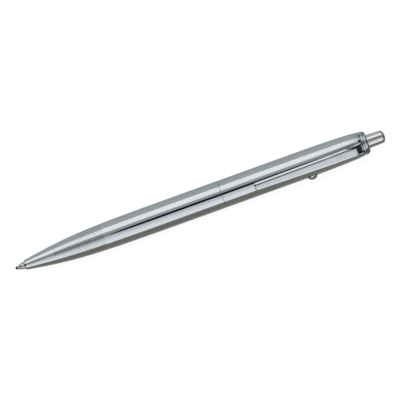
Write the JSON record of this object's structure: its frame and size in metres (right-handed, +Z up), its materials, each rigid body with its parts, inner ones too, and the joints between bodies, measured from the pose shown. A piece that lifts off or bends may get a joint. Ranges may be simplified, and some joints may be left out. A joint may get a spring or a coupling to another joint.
{
  "type": "ballpoint pen",
  "caption": "Retractable metal ballpoint pen with thumb button, side release button, spring clip and a fine-ringed front grip.",
  "frame": {"origin": "on the surface the pen lies on, under the pen's axis, halfway along its length with the point out", "axes": "X along the pen's axis with the thumb button at +X and the writing point at -X, +Z up, clip and side button on the -Y side"},
  "size_m": [0.13, 0.0103, 0.0093],
  "materials": {
    "chrome": "polished chrome plate",
    "brass": "turned brass",
    "stainless_steel": "turned stainless steel",
    "spring_steel": "bright spring steel",
    "carbide": "ground carbide",
    "refill_metal": "nickel-plated brass",
    "nylon": "moulded nylon",
    "ink": "thick black ink"
  },
  "bodies": {
    "cap": {"cap_tube": "chrome", "end_ring": "chrome", "mechanism_sleeve": "brass", "leaf_anchor": "brass", "joint_bush": "brass"},
    "front": {"front_barrel": "chrome", "return_spring": "spring_steel"},
    "plunger": {"thumb_button": "chrome", "plunger_stem": "stainless_steel", "latch_collar": "stainless_steel", "refill_cup": "brass"},
    "refill": {"refill_tube": "refill_metal", "refill_neck": "brass", "point_socket": "stainless_steel", "ink_column": "ink", "refill_float": "nylon", "refill_end_plug": "nylon"},
    "ball": {"writing_ball": "carbide"},
    "side_button": {"release_button": "chrome", "latch_leaf": "spring_steel", "button_rivet": "stainless_steel"},
    "clip_strip": {"clip": "chrome"}
  },
  "joints": [
    {"name": "thumb_button_slide", "type": "slide", "parent": "cap", "child": "plunger", "axis": [1, 0, 0], "range_m": [-0.0008, 0.0052], "deforming": ["return_spring"]},
    {"name": "refill_slide", "type": "slide", "parent": "cap", "child": "refill", "axis": [1, 0, 0], "range_m": [-0.0008, 0.0052]},
    {"name": "ball_roll", "type": "hinge", "parent": "refill", "child": "ball", "pos_m": [-0.06455, 0, 0.00467], "axis": [0, 1, 0], "continuous": true},
    {"name": "side_button_press", "type": "hinge", "parent": "cap", "child": "side_button", "pos_m": [0.04445, -0.00222, 0.0024], "axis": [0, 0.7145, -0.6996], "range_deg": [0, 5], "stiffness_Nm_per_rad": 0.15, "springref_deg": -1.15},
    {"name": "clip_flex", "type": "hinge", "parent": "cap", "child": "clip_strip", "pos_m": [0.05525, -0.00296, 0.00589], "axis": [0, 0.381, 0.9246], "range_deg": [0, 4], "stiffness_Nm_per_rad": 1.5, "springref_deg": -0.57},
    {"name": "front_barrel_unscrew", "type": "slide", "parent": "cap", "child": "front", "axis": [-1, 0, 0], "range_m": [0, 0.075]}
  ],
  "couplings": [
    {"joint": "refill_slide", "follows": "thumb_button_slide", "ratio": 1}
  ]
}
